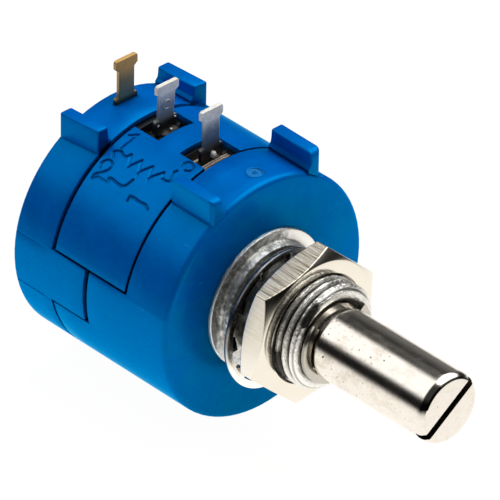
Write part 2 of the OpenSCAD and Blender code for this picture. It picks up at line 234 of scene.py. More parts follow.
def extruded(outline, y0, y1):  # a flat outline of (x, z) points drawn out along Y
    bm = bmesh.new()
    face = bm.faces.new([bm.verts.new((x, y0, z)) for x, z in outline])
    grown = bmesh.ops.extrude_face_region(bm, geom=[face])["geom"]
    moved = [v for v in grown if isinstance(v, bmesh.types.BMVert)]
    bmesh.ops.translate(bm, verts=moved, vec=(0, y1 - y0, 0))
    faceOutwards(bm)
    return bm


def faceOutwards(bm):
    bmesh.ops.recalc_face_normals(bm, faces=bm.faces[:])


def moveMesh(bm, step):
    bmesh.ops.translate(bm, vec=step, verts=bm.verts[:])


def join(bm, other):  # adds another bmesh's faces to this one
    spare = bpy.data.meshes.new("spare")
    other.to_mesh(spare)
    other.free()
    bm.from_mesh(spare)
    bpy.data.meshes.remove(spare)


def turnMesh(bm, angle, axis):  # about the origin, in radians
    bmesh.ops.rotate(bm, cent=(0, 0, 0), matrix=Matrix.Rotation(angle, 3, axis),
                     verts=bm.verts[:])


def addLump(bm, place, size, bumps, seed, material=0, fine=3):
    # an uneven ball, with bumps as (height, closeness)
    height, close = bumps
    lump = bmesh.new()
    bmesh.ops.create_icosphere(lump, subdivisions=fine, radius=1)
    bmesh.ops.scale(lump, vec=size, verts=lump.verts[:])
    for v in lump.verts:
        v.co *= 1 + height * noise.noise(v.co * close + Vector(seed))
    moveMesh(lump, place)
    for face in lump.faces:
        face.material_index = material
    join(bm, lump)


def hoop(centre, radius, thick, axis):  # a thin raised ring standing half out of a face
    bm = bmesh.new()
    bmesh.ops.create_circle(bm, cap_ends=False, segments=10, radius=thick)
    turnMesh(bm, pi / 2, "X")
    moveMesh(bm, (radius, 0, 0))
    bmesh.ops.spin(bm, geom=bm.edges[:], cent=(0, 0, 0), axis=(0, 0, 1), angle=2 * pi,
                   steps=40, use_merge=True)
    if axis == "y":
        turnMesh(bm, pi / 2, "X")
    moveMesh(bm, centre)
    faceOutwards(bm)
    return bm


def asObject(bm, name, finishes):  # a mesh in mm becomes an object in metres
    bmesh.ops.scale(bm, vec=(mm, mm, mm), verts=bm.verts[:])
    mesh = bpy.data.meshes.new(name)
    bm.to_mesh(mesh)
    bm.free()
    for finish in finishes:
        mesh.materials.append(finish)
    piece = bpy.data.objects.new(name, mesh)
    bpy.context.scene.collection.objects.link(piece)
    return piece


def finishPiece(bm, name, body, finishes, replaces, smooth=35):
    piece = asObject(bm, name, finishes)
    mesh = piece.data
    mesh.shade_smooth()
    mesh.set_sharp_from_angle(angle=radians(smooth))
    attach(piece, body)
    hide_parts(replaces)
    print("made", name, len(mesh.polygons), "faces")


# finishes
plastic = {
    "blue": rgb(0.0, 0.15, 0.7),
    "deepBlue": rgb(0.0, 0.08, 0.42),
    # painted shade in grooves and on the rear horns' ends
    "paintedShadeBlue": rgb(0.0, 0.008, 0.05),
    "scuff": rgb(0.06, 0.4, 0.8),
    "sheen": rgb(0.0, 0.47, 1.0),
    "edgeTint": rgb(0.12, 0.8, 1.0),
    # painted floor light on the lower side
    "skirt": rgb(0.0, 0.19, 0.72),
    "teal": rgb(0.0, 0.2, 0.5),
    # painted light on the outer side of one front horn
    "lit": rgb(0.0, 0.26, 0.85),
    "ior": 2.2,
    "roughness": 0.34,
    "mattRoughness": 0.8,
    "grain": 0.006,  # mm
    "deck": (0.38, 2.94, 11.09),  # middle of the ring moulded on the front lid
    "horns": (4.6, 9.7),          # X and Z past which only horns stand
    "outerX": 5.9,                # the horns' outer sides
    "frontEndY": 8,
    "rearEndsY": (14.9, 15.16),
}


def bluePlastic():
    f = Finish("bluePlastic")
    place = f.place()
    x, y, z = f.axes(place)
    height = (z + 12) / 24
    # clouds of two blues, teal ones on the front face, and painted floor light that makes the
    # lower side paler
    cloud = f.noise(place, 0.3, 5, 0.6)
    colour = f.mix(cloud, plastic["deepBlue"], plastic["blue"])
    front = f.level(y * 0.2, (0.22, 1), (0.3, 0))
    cloud = f.level(f.noise(place, 0.4, 4, 0.6), (0.42, 0), (0.66, 1))
    colour = f.mix(front * cloud * 0.6, colour, plastic["teal"])
    # painted light: the lower side is painted paler, as if lit by the floor
    skirt = f.level(height, (0.0, 0.7), (0.3, 0.8), (0.592, 0.75), (0.598, 0))
    colour = f.mix(skirt * (1 - front), colour, plastic["skirt"])
    # scuffs and specks, most of them low down, and a rubbed disc round the moulded ring
    scratch = f.noise(f.place((0.5, 0.16, 1.3), (0.3, 0.5, 0.7)), 3.1, 3, 0.6, 0.4)
    scuffs = f.level(scratch, (0.0, 0), (0.66, 0), (0.76, 1))
    spots = f.level(f.noise(place, 0.55, 4, 0.6), (0.48, 0), (0.7, 1))
    specks = f.level(f.noise(place, 2.6, 2, 0.7), (0.0, 0), (0.73, 0), (0.77, 1))
    low = f.level(height, (0.1, 1), (0.25, 0))
    mark = (scuffs * (spots + low) + specks * (spots + low)).clamped()
    away = f.node("ShaderNodeVectorMath", {"operation": "DISTANCE"},
                  {0: place, 1: plastic["deck"]}, "Value")
    disc = f.level(away * 0.5, (0.0, 0), (0.06, 0.2), (0.12, 1), (0.3, 0.8), (0.4, 0))
    colour = f.mix(mark * 0.75 + disc * 0.4, colour, plastic["scuff"])
    # painted light and shade: the outer side of one front horn is painted paler, the front ends
    # of the rear horns are painted dark
    (hornX, hornZ), (endY0, endY1) = plastic["horns"], plastic["rearEndsY"]
    horn = f.maths("ABSOLUTE", x).over(hornX) * z.over(hornZ)
    lit = horn * (0 - x).over(plastic["outerX"]) * (1 - y.over(plastic["frontEndY"]))
    colour = f.mix(lit * 0.8, colour, plastic["lit"])
    # painted shade on the front ends of the rear horns
    paintedHornShade = horn * y.over(endY0) * (1 - y.over(endY1))
    colour = f.mix(paintedHornShade * 0.75, colour, plastic["paintedShadeBlue"])
    # painted shade: grooves and sheltered places are painted dark, less so towards the rear
    wide = 0.85 - f.level(y / 20, (0.25, 0), (0.75, 1)) * 0.5
    colour = f.mix(f.hollow(0.45) * 0.9 + f.hollow(6) * wide, colour, plastic["paintedShadeBlue"])
    rough = f.noise(place, 1.4, 3) * 0.14 + (plastic["roughness"] - 0.07)
    grain = f.bump(f.noise(place, 9, 3, 0.6), 0.5, plastic["grain"])
    waves = f.bump(f.noise(place, 0.5, 1), 0.35, 0.05, grain)
    return f.sheened(colour, rough + mark * 0.2, waves)


def cloudedMatter(name, dark, light, roughness, grainScale=6, shine=0.5):
    f = Finish(name)
    place = f.place()
    colour = f.mix(f.noise(place, 1.1, 3), dark, light)
    grain = f.bump(f.noise(place, grainScale, 3), 0.5, 0.01)
    rough = f.noise(place, 2, 2) * 0.2 + (roughness - 0.1)
    return f.surface(colour, rough, grain, 0.0, shine)


def platedMetal(name, light, dark, roughness):  # plain plated metal with a fine grain
    f = Finish(name)
    place = f.place()
    cloud = f.noise(place, 0.6, 4, 0.6)
    line = f.noise(place, 8, 4, 0.7)
    colour = f.mix((cloud + line) * 0.25, light, dark)
    rough = (cloud + line + 1) * (roughness * 0.5)
    return f.surface(colour, rough, f.bump(line, 0.6, 0.004))


threadLook = {
    "bright": rgb(0.9, 0.89, 0.86),
    "brightest": rgb(1.0, 1.0, 0.98),
    # painted shade for the thread's roots
    "paintedRootShade": rgb(0.04, 0.038, 0.03),
    "dull": rgb(0.34, 0.33, 0.3),
    # darker blotches, with painted shade at the flange's left
    "blotchAndPaintedShade": rgb(0.14, 0.15, 0.14),
    # painted shade in the thread, with dirt in spots
    "dirtAndPaintedShade": rgb(0.02, 0.019, 0.016),
    # painted shade in crevices
    "paintedCreviceShade": rgb(0.02, 0.018, 0.015),
}


def threadedNickel():  # the bushing: bright crests, roots painted dark as shade, darker blotches and painted shade on its flange
    c = threadLook
    f = Finish("threadedNickel")
    place = f.place()
    x, y, z = f.axes(place)
    radius = (x * x + z * z) ** 0.5
    # painted shade: the roots of the thread are painted dark
    end = f.level((y + 7.2) * 2, (0.3, 0), (0.5, 1))
    low = end * f.level((radius - 4.2) * 1.6, (0.0, 1), (0.36, 1), (0.58, 0))
    cloud = f.noise(place, 1.1, 4, 0.65)
    line = f.noise(f.place((1, 5, 1)), 2.6, 4, 0.7)
    paintedRootShade = f.mix(cloud, c["paintedRootShade"], c["dull"])
    bright = f.mix(line, c["bright"], c["brightest"])
    colour = f.mix(low, bright, paintedRootShade)
    # darker blotches behind the nut on the flange's upper half, and painted shade in a band at
    # the flange's left
    behind = f.level((y + 1) * 0.5, (0.25, 0), (0.45, 1))
    rim = f.level(radius - 5.7, (0.42, 0), (0.5, 1))
    high = f.level((z + 6) / 12, (0.15, 0), (0.45, 1))
    blotch = f.level(f.noise(place, 1.1, 7, 0.8), (0.44, 0), (0.57, 1))
    bare = f.level(x * 0.2, (0.28, 0), (0.52, 1))
    left = f.level(x * -0.1, (0.545, 0), (0.57, 1))
    middle = f.level((z + 4) / 8, (0.05, 0), (0.2, 1), (0.65, 1), (0.8, 0))
    blotchAndPaintedShade = (blotch * high * (1 - bare) + left * middle).clamped() * behind * (1 - rim)
    colour = f.mix(blotchAndPaintedShade * 0.78, colour, c["blotchAndPaintedShade"])
    # painted shade in the thread, in a pocket by the nut and in a streak at the end, and dirt
    # in spots above
    byNut = f.level((y - z * 0.2 + 6) * 2, (0.5, 0), (0.9, 1)) * (1 - behind)
    lower = f.level(x * -0.2, (0.66, 0), (0.72, 1))
    pocket = byNut * lower * f.level((z + 4) / 8, (0.075, 0), (0.14, 1), (0.5, 1), (0.59, 0))
    tip = f.level(y + 7.2, (0.35, 1), (0.5, 0)) * radius.over(3.95) * z.over(2.6)
    streak = tip * f.level(x * -0.25, (0.4, 0), (0.46, 1), (0.86, 1), (0.92, 0))
    spot = f.level(f.noise(place, 2.6, 4, 0.7), (0.48, 0), (0.58, 1))
    spots = spot * z.over(3.6) * x.over(0.1) * (1 - y.over(-5.4)) * y.over(-6.85) * 0.7
    dirtAndPaintedShade = (pocket + streak * 1.1 + spots).clamped()
    colour = f.mix(dirtAndPaintedShade * 0.95, colour, c["dirtAndPaintedShade"])
    # painted shade in the thread's crevices
    colour = f.mix(f.hollow(0.6) * 0.85, colour, c["paintedCreviceShade"])
    rough = cloud * 0.16 + line * 0.1 + behind * 0.14 + blotchAndPaintedShade * 0.15 + 0.04
    dent = f.noise(f.place((1, 1.6, 1)), 2.1, 4, 0.7) * (1 - bare * behind * 0.85)
    dents = f.bump(dent, 1.0, 0.14)
    return f.surface(colour, rough, f.bump(line, 0.6, 0.012, dents))


nutLook = {
    "face": rgb(0.87, 0.83, 0.75),
    "faceDull": rgb(0.72, 0.67, 0.57),
    # painted dark reflection on the chamfer
    "paintedDarkReflection": rgb(0.2, 0.18, 0.15),
    "cut": [(0.38, (0.3, 0.26, 0.2)), (0.46, (0.66, 0.6, 0.5)), (0.52, (0.88, 0.83, 0.72)),
            (0.62, (1.0, 0.96, 0.87))],
    # painted reflection on the lower flats
    "paintedLowReflection": rgb(1.0, 0.99, 0.94),
    "worn": rgb(0.55, 0.5, 0.4),
    "coarseZ": 4.97,
}


def nutFaceMetal():  # the nut's two faces, with a painted dark reflection on the chamfer of one corner
    c = nutLook
    f = Finish("nutFace")
    place = f.place()
    x, _, z = f.axes(place)
    cloud = f.noise(place, 0.6, 4, 0.6)
    line = f.noise(place, 8, 4, 0.7)
    colour = f.mix((cloud + line) * 0.25, c["face"], c["faceDull"])
    # painted dark reflection on the chamfer at one corner
    chamfer = f.level((x * x + z * z) ** 0.5 - 6, (0.1, 0), (0.3, 1))
    corner = f.level((z * 0.68 - x * 0.73 - 4.8) / 2, (0.0, 0), (0.8, 1))
    colour = f.mix(chamfer * corner * 0.85, colour, c["paintedDarkReflection"])
    return f.surface(colour, (cloud + line) * 0.05 + 0.05, f.bump(line, 0.6, 0.004))


def flatMetal():  # the nut's six sides, with the cutter's lines along the shaft
    c = nutLook
    f = Finish("nutFlat")
    place = f.place()
    lines = f.noise(f.place((1, 0.03, 1)), 4.2, 3, 0.75)
    fine = f.noise(f.place((1, 0.05, 1)), 13, 2, 0.6)
    z = f.axes(place)[2]
    upper = z.over(c["coarseZ"])  # one flat is cut coarser than the next
    both = (lines * 0.65 + fine * 0.35 - 0.5) * (upper * 0.75 + 0.3) + (0.56 - upper * 0.06)
    shade = f.ramp(both, c["cut"])
    # painted reflection: the lower flats are painted brighter, as if reflecting the floor
    paintedLowReflection = f.level((z + 3) / 6, (0.3, 1), (0.7, 0))
    shade = f.mix(paintedLowReflection * 0.7, shade, c["paintedLowReflection"])
    wear = f.mix(f.noise(place, 1.3, 3) * (0.3 - paintedLowReflection * 0.25), shade, c["worn"])
    return f.surface(wear, 0.24, f.bump(both, 0.6, 0.03))


washerLook = {
    # painted shade in the gap above the washer
    "paintedGapShade": rgb(0.12, 0.11, 0.1),
    "worn": rgb(0.5, 0.49, 0.46),
    # painted bright reflection at the washer's lower side
    "paintedLowReflection": rgb(1.0, 0.99, 0.95),
    "paintedCreviceShade": rgb(0.01, 0.009, 0.008),
}


def washerMetal():  # spring steel, painted dark as shade in the gap above, with a painted bright reflection at its lower side
    c = washerLook
    f = Finish("washerSteel")
    place = f.place()
    cloud = f.noise(place, 1.3, 4, 0.65)
    # painted reflection: the lower side is painted bright
    paintedLowReflection = f.level((f.axes(place)[2] + 6) / 12 + cloud * 0.1, (0.3, 1), (0.5, 0))
    paintedGapShade = f.mix(cloud, c["paintedGapShade"], c["worn"])
    colour = f.mix(paintedLowReflection, paintedGapShade, c["paintedLowReflection"])
    # painted shade in the washer's crevices and in the gap above
    dark = (f.hollow(2.5) * 1.3 * (1 - paintedLowReflection)).clamped()
    colour = f.mix(dark, colour, c["paintedCreviceShade"])
    rough = cloud * 0.2 * (1 - paintedLowReflection) + 0.16
    return f.surface(colour, rough, f.bump(cloud, 0.5, 0.02))


shaftLook = {
    "plate": rgb(0.9, 0.87, 0.82),
    "streak": rgb(0.78, 0.74, 0.68),
    "worn": rgb(0.5, 0.42, 0.33),
    "pit": rgb(0.05, 0.045, 0.04),
    # painted shade on the tip's rim and bevel
    "rim": rgb(0.012, 0.011, 0.01),
    "bevelY": (-20.592, -20.05),
    "faceR": 2.94,
}


def shaftMetal():  # polished plate with small dark pits, worn brown near the bushing
    c = shaftLook
    f = Finish("shaftSteel")
    place = f.place()
    x, y, z = f.axes(place)
    wear = f.level(f.noise(f.place((1, 0.7, 1)), 0.9, 5, 0.7), (0.46, 0), (0.66, 1))
    near = f.level((y + 20) / 12, (0.0, 0.25), (1.0, 1))
    pits = f.level(f.noise(place, 3.6, 3, 0.6) + (1 - near) * 0.06,
                   (0.0, 1), (0.33, 1), (0.35, 0))
    streak = f.noise(f.place((1, 0.08, 1)), 3.0, 3, 0.6)
    colour = f.mix(streak, c["plate"], c["streak"])
    colour = f.mix(wear * near * 0.55, colour, c["worn"])
    colour = f.mix(pits, colour, c["pit"])
    # painted shade: the rounded rim of the tip is painted dark along its upper left, and so is
    # the bevel at its left
    frontY, backY = c["bevelY"]
    rim = (1 - y.over(backY)) * y.over(frontY) * (z * 0.99 - x * 0.139).over(1.5)
    inner = 1 - ((x * x + z * z) ** 0.5).over(c["faceR"])
    left = 1 - (x + z * 0.404).over(0)
    colour = f.mix((rim * inner * 0.95 + rim * left * 0.7).clamped(), colour, c["rim"])
    grain = f.bump(f.noise(place, 9, 5, 0.85), 0.6, 0.009)
    rough = wear * 0.08 + pits * 0.3 + 0.09
    return f.surface(colour, rough, grain)


def terminalMetal(name, light, dark, metallic):  # painted light at the head, painted shade down in the window
    f = Finish(name)
    place = f.place()
    z = f.axes(place)[2]
    cloud = f.noise(place, 1.4, 4, 0.6)
    # painted light: the terminal is painted lighter towards its head
    up = f.level((z - 10) * 0.2, (0.0, 0), (0.22, 0.02), (0.33, 0.08), (0.6, 0.2),
                 (0.75, 0.6), (0.84, 1))
    colour = f.mix(up, dark, light)
    spots = f.level(f.noise(place, 2.2, 5, 0.75), (0.42, 0), (0.62, 1))
    colour = f.mix(spots * (0.45 - up * 0.25), colour, dark)
    # painted shade: the foot down in the window is painted near-black
    low = f.level((z - 10) * 0.25, (0.0, 1), (0.3, 0.95), (0.42, 0.2), (0.6, 0))
    colour = f.mix(low, colour, rgb(0.015, 0.016, 0.02))
    height = f.bump(f.noise(f.place((1, 1, 0.2)), 5, 3), 0.6, 0.02)
    rough = cloud * 0.15 + up * 0.25 + 0.25
    return f.surface(colour, rough, height, metallic)


blue = bluePlastic()
# painted shade: the inner tube is near-black to stand for the shade inside the casing
tubeShade = cloudedMatter("innerTubeShade", rgb(0.003, 0.004, 0.008), rgb(0.008, 0.012, 0.02), 0.45)
nickel = threadedNickel()
shaftSteel = shaftMetal()
# painted shade: the slot's walls and floor are painted near-black
slotShadeSteel = platedMetal("slotShadeSteel", rgb(0.05, 0.04, 0.022), rgb(0.02, 0.016, 0.01), 0.5)
washerSteel = washerMetal()
ringSteel = platedMetal("ringSteel", rgb(0.62, 0.6, 0.55), rgb(0.3, 0.28, 0.25), 0.2)
nutFace = nutFaceMetal()
nutFlat = flatMetal()
tinned = terminalMetal("tinned", rgb(1.0, 1.0, 0.95), rgb(0.1, 0.13, 0.15), 0.55)
dimpled = terminalMetal("dimpledTin", rgb(1.0, 1.0, 0.94), rgb(0.24, 0.28, 0.3), 0.42)
potting = cloudedMatter("potting", rgb(0.006, 0.006, 0.007), rgb(0.02, 0.019, 0.017),
                        0.22, 3, 0.22)
brass = terminalMetal("brass", rgb(0.74, 0.46, 0.17), rgb(0.33, 0.25, 0.12), 0.65)
solder = cloudedMatter("solder", rgb(0.7, 0.7, 0.68), rgb(1.0, 1.0, 0.98), 0.3, 4, 1.0)
contactMetal = platedMetal("contactMetal", rgb(0.85, 0.62, 0.3), rgb(0.62, 0.42, 0.2), 0.25)
rotorPlastic = cloudedMatter("rotorPlastic", rgb(0.62, 0.57, 0.46), rgb(0.7, 0.66, 0.55), 0.5)
carriagePlastic = cloudedMatter("carriagePlastic", rgb(0.7, 0.7, 0.68),
                                rgb(0.78, 0.78, 0.76), 0.45)
washerPlastic = cloudedMatter("washerPlastic", rgb(0.05, 0.05, 0.05),
                              rgb(0.09, 0.09, 0.09), 0.55)


def woundWire():
    f = Finish("woundWire")
    place = f.place()
    across = f.node("ShaderNodeTexWave", {"wave_type": "BANDS", "bands_direction": "X"},
                    {"Vector": place, "Scale": 2.6, "Distortion": 0.6, "Detail": 1.0})
    tint = f.mix(f.noise(place, 1.5, 3), rgb(0.5, 0.4, 0.3), rgb(0.75, 0.68, 0.58))
    colour = f.mix(across, rgb(0.2, 0.15, 0.1), tint)
    return f.surface(colour, 0.34, f.bump(across, 0.7, 0.03), 0.85)


coilFinish = woundWire()
print("finishes made")


# front lid
(_, lidFrontY, _), (casingR, lidBackY, hornTopZ) = boxOf("front_lid")
rearFaceY = boxOf("rear_lid")[1][1]
tongueFrontY = boxOf("rear_lid")[0][1]
seam = 0.2
frontSeam, rearSeam = 0.28, 0.42
rearSeamY = 14.94
frontSeamY = 6.22
frontLid = {
    "saddleHalf": 76.5,    # degrees
    "tongueHalf": 103.0,
    "rim": 0.5,
    "wall": 0.42,
    "hole": 4.7,
    "faceRadii": (6.5, 8.6),
    "rowsY": (2.6, 4.4, 8.4, 12.8),
    "notch": 0.5,
    "ring": 0.72,
    "dot": 0.14,
    "ringHeight": 0.08,
    "ringSink": 0.03,
    "edge": 0.05,
    "steps": 4.5,          # degrees for one step round
}
seamAngle = degrees(seam / 2 / casingR)
horns = {
    "across": (4.7, 5.95),
    "rootZ": 8.92,
    "ledge": 0.25,
    "ledgeTop": 10.55,
    "ledgeEnd": 10.36,
    "ledgeRootZ": 9.9,
    "ledgeDrop": 0.4,      # of the ledge for each mm that a horn stands outwards
    "upperZ": 11,          # above the lids' skin
    "flareDrop": 0.5,      # of the top for each mm that it flares
    "corner": 0.2,
    "edge": 0.06,
    "noseRound": 0.6,
    "inset": 0.02,         # behind the front face
    "rearGap": 0.15,       # in front of the rear face
    # side of the casing, then in mm how far it stands outwards, turns, flares and rises
    "frontLeft": (-1, 0, 0, 0, 0),
    "frontRight": (1, 0.38, -0.1, 0, 0.1),
    "rearLeft": (-1, -0.05, -0.3, 0, 0.08),
    "rearRight": (1, 0.18, 0.13, 0.35, -0.08),
}


def rimPoints(radius, y, size, outwards):
    # points of a rounded rim between a flat face at y and the skin at radius
    side = 1 if outwards else -1
    turns = [pi / 2 * i / 6 for i in range(7)]
    points = [(radius - size + size * sin(a), y + side * (size - size * cos(a))) for a in turns]
    return points if outwards else points[::-1]


def evenStops(angles, step):
    stops = []
    for a, b in zip(angles, angles[1:]):
        stops.append((b, max(1, round((b - a) / step))))
    return stops


def keepOnly(bm, keep):
    centres = [(face, face.calc_center_median()) for face in bm.faces]
    cut = [face for face, centre in centres if not keep(angleOf(centre), centre)]
    bmesh.ops.delete(bm, geom=cut, context="FACES")
    faceOutwards(bm)


def makeHorn(name, y0, y1, noseRound=0):
    # one upright fin; its root lies inside the lid's wall
    s = horns
    xInner, xOuter = s["across"]
    side, shift, turn, flare, rise = s[name]
    ledge = xInner - s["ledge"]
    outline = [
        (xOuter, s["rootZ"]), (xOuter, hornTopZ), (xInner, hornTopZ), (xInner, s["ledgeTop"]),
        (ledge, s["ledgeEnd"] - s["ledgeDrop"] * shift), (ledge, s["ledgeRootZ"]),
    ]
    bm = extruded([(side * x, z) for x, z in outline], y0, y1)
    if noseRound:
        nose = [e for e in bm.edges if all(abs(v.co.y - y0) < 0.01 for v in e.verts)
                and (all(v.co.z > hornTopZ - 0.01 for v in e.verts)
                     or all(abs(v.co.x) > xOuter - 0.01 for v in e.verts))]
        rounded(bm, nose, noseRound, 5)
    upper = [e for e in sharpEdges(bm, 35) if max(v.co.z for v in e.verts) > s["upperZ"]]
    rounded(bm, upper, s["corner"], 4)
    rounded(bm, sharpEdges(bm, 35), s["edge"])
    for v in bm.verts:
        ahead = (y1 - v.co.y) / (y1 - y0)
        outer = (abs(v.co.x) - xInner) / (xOuter - xInner)
        v.co.x += side * (shift + turn * (ahead - 0.5) + flare * ahead * outer)
        if v.co.z > s["upperZ"]:
            v.co.z += rise - flare * ahead * outer * s["flareDrop"]
    return bm


def makeFrontLid():
    s = frontLid
    a, t = s["saddleHalf"] + seamAngle, s["tongueHalf"] + seamAngle
    notchY = tongueFrontY - s["notch"]
    seamStart = frontSeamY - frontSeam / 2
    profile = [(r, lidFrontY) for r in (s["hole"], *s["faceRadii"])]
    profile += rimPoints(casingR, lidFrontY, s["rim"], True)
    profile += [(casingR, y) for y in sorted((*s["rowsY"], seamStart, notchY, lidBackY))]
    bm = bmesh.new()
    angles = [-180, -t, -a, a, t, 180]
    turned(bm, profile, evenStops(angles, s["steps"]), -180)

    def keep(angle, centre):
        if abs(angle) < a:
            return centre.y < seamStart
        if abs(angle) < t:
            return centre.y < notchY
        return True

    keepOnly(bm, keep)
    bmesh.ops.solidify(bm, geom=bm.faces[:], thickness=s["wall"])
    rounded(bm, sharpEdges(bm, 60), s["edge"])
    for name in ("frontLeft", "frontRight"):
        join(bm, makeHorn(name, lidFrontY + horns["inset"], seamStart, horns["noseRound"]))
    ringX, ringY, ringZ = plastic["deck"]
    join(bm, hoop((ringX, ringY, ringZ - s["ringSink"]), s["ring"], s["ringHeight"], "z"))
    join(bm, hoop((ringX, ringY, ringZ), s["dot"], s["ringHeight"], "z"))
    finishPiece(bm, "frontLid", "casing", [blue], "front_lid")


makeFrontLid()


# rear lid
rearLid = {
    "rim": 0.35,
    "wall": 0.42,
    "edge": 0.05,
    "faceRadii": (8.5, 4, 0),
    "rowsY": (12.8, 16.4),
    "lugSlot": (1.23, 0.23),  # half width and half thickness of the slot for terminal 2
    "partingLines": {-78.0: 0.04, -103.0: 0.12, 78.0: 0.04, 103.0: 0.12},  # degrees: depth
    "lineHalf": 0.4,          # degrees
    "lineStart": 0.3,         # behind the seam
}
lug2Y = (boxOf("terminal_2")[0][1] + boxOf("terminal_2")[1][1]) / 2


def makeRearLid():
    s, f = rearLid, frontLid
    a, t = f["saddleHalf"] + seamAngle, f["tongueHalf"] - seamAngle
    slotX, slotY = s["lugSlot"]
    slotHalf = degrees(asin(slotX / casingR))
    seamEnd = rearSeamY + rearSeam / 2
    rows = sorted((tongueFrontY, seamEnd, *s["rowsY"], lug2Y - slotY, lug2Y + slotY))
    profile = [(casingR, y) for y in rows]
    profile += rimPoints(casingR, rearFaceY, s["rim"], False)
    profile += [(r, rearFaceY) for r in s["faceRadii"]]
    angles = [-180, -t]
    for line in sorted(s["partingLines"]):
        angles += [line - s["lineHalf"], line, line + s["lineHalf"]]
    angles += [-a, a, -slotHalf, slotHalf, t, 180]
    angles = sorted(set(round(x, 4) for x in angles))
    bm = bmesh.new()
    turned(bm, profile, evenStops(angles, f["steps"]), -180)

    def keep(angle, centre):
        if centre.y < seamEnd:
            return a < abs(angle) < t
        inSlot = abs(angle) < slotHalf and abs(centre.y - lug2Y) < slotY
        return not inSlot

    keepOnly(bm, keep)
    # the fine grooves where the mould parted
    behind = [v for v in bm.verts if v.co.y > rearSeamY + s["lineStart"] and radiusOf(v.co) > 5]
    for v in behind:
        for line, depth in s["partingLines"].items():
            if abs(angleOf(v.co) - line) < 0.1:
                v.co.x *= 1 - depth / casingR
                v.co.z *= 1 - depth / casingR
    bmesh.ops.solidify(bm, geom=bm.faces[:], thickness=s["wall"])
    rounded(bm, sharpEdges(bm, 60), s["edge"])
    for name in ("rearLeft", "rearRight"):
        join(bm, makeHorn(name, seamEnd, rearFaceY - horns["rearGap"]))
    finishPiece(bm, "rearLid", "casing", [blue], "rear_lid")


makeRearLid()


# housing
markStrokes = [
    # (depth share, (along the skin, y) points in mm; the first number grows towards +X)
    (1.0, [(-3.08, 14.36), (-2.52, 13.74), (-3.28, 13.73), (-4.46, 13.85)]),
    (1.0, [(-5.42, 13.86), (-5.08, 14.19), (-4.81, 13.97), (-4.68, 13.62), (-4.89, 13.16),
           (-4.87, 12.82), (-4.43, 12.6)]),
    (0.35, [(-4.43, 12.6), (-5.58, 11.95)]),
    (1.0, [(-5.58, 11.95), (-5.28, 11.82), (-4.4, 11.36)]),
    (0.35, [(-4.4, 11.36), (-5.91, 10.55)]),
    (1.0, [(-5.57, 10.74), (-5.25, 10.64), (-4.35, 10.08)]),
    (0.35, [(-4.35, 10.08), (-5.83, 9.41)]),
    (1.0, [(-5.51, 9.54), (-5.16, 9.4), (-4.31, 8.81)]),
    (0.4, [(-4.31, 8.81), (-4.85, 8.5)]),
    (1.0, [(-4.85, 8.5), (-4.9, 8.09), (-4.71, 7.68), (-4.26, 7.95), (-3.86, 8.11),
           (-3.58, 7.99)]),
    (1.0, [(-6.81, 14.13), (-6.45, 14.34), (-6.14, 14.26), (-5.89, 14.01), (-5.85, 13.69),
           (-5.99, 13.39), (-6.3, 13.26), (-6.63, 13.32), (-6.97, 13.62), (-7.32, 14.04),
           (-7.59, 14.23), (-7.95, 14.17)]),
    (0.6, [(-7.95, 14.17), (-7.54, 13.73), (-7.58, 12.72)]),
    (1.0, [(-7.46, 12.58), (-7.19, 12.76), (-7.08, 12.55), (-7.18, 11.74), (-7.2, 11.18),
           (-6.93, 10.87), (-6.55, 10.73), (-6.24, 10.66)]),
    (1.0, [(-7.98, 9.85), (-7.53, 9.88), (-7.5, 9.4), (-7.54, 8.77), (-7.49, 8.09),
           (-7.7, 7.61)]),
    (1.0, [(-2.94, 8.05), (-2.64, 8.13), (-2.31, 8.0), (-2.21, 7.63), (-2.41, 7.17),
           (-2.76, 6.99), (-3.05, 7.16), (-3.18, 7.5)]),
]
housing = {
    "skinR": casingR - 0.03,
    "wall": 0.5,
    "edge": 0.05,
    "markCell": 0.05,      # spacing of the fine rows that carry the marks
    "markAlong": (-8.7, -2.0),
    "markY": (6.7, 14.5),
    "markRowsY": (6.79, 154),  # first row and how many
    "markEnd": -10.9,      # degrees
    "markHalf": 0.13,
    "markDepth": 0.17,
    "frontWindowY": 9.34,
    "rearWindowY": 11.89,
    "windowHalf": 2.0,
    "ledge": 0.25,
    "tubeR": 10.5,
    "tubeWall": 0.6,
    "tubeEndsY": (2.53, 17.7, 18.35),
    "seamRow": 0.2,
}


def strokeDepth(x, y):  # how deep the engraving goes at a place (along the skin, y)
    deepest, half = 0.0, housing["markHalf"]
    for share, line in markStrokes:
        for (x0, y0), (x1, y1) in zip(line, line[1:]):
            if x < min(x0, x1) - half or x > max(x0, x1) + half:
                continue
            if y < min(y0, y1) - half or y > max(y0, y1) + half:
                continue
            dx, dy = x1 - x0, y1 - y0
            t = max(0.0, min(1.0, ((x - x0) * dx + (y - y0) * dy) / (dx * dx + dy * dy)))
            near = hypot(x - x0 - t * dx, y - y0 - t * dy) / half
            if near < 1:
                deepest = max(deepest, share * housing["markDepth"] * (1 - near ** 3))
    return deepest


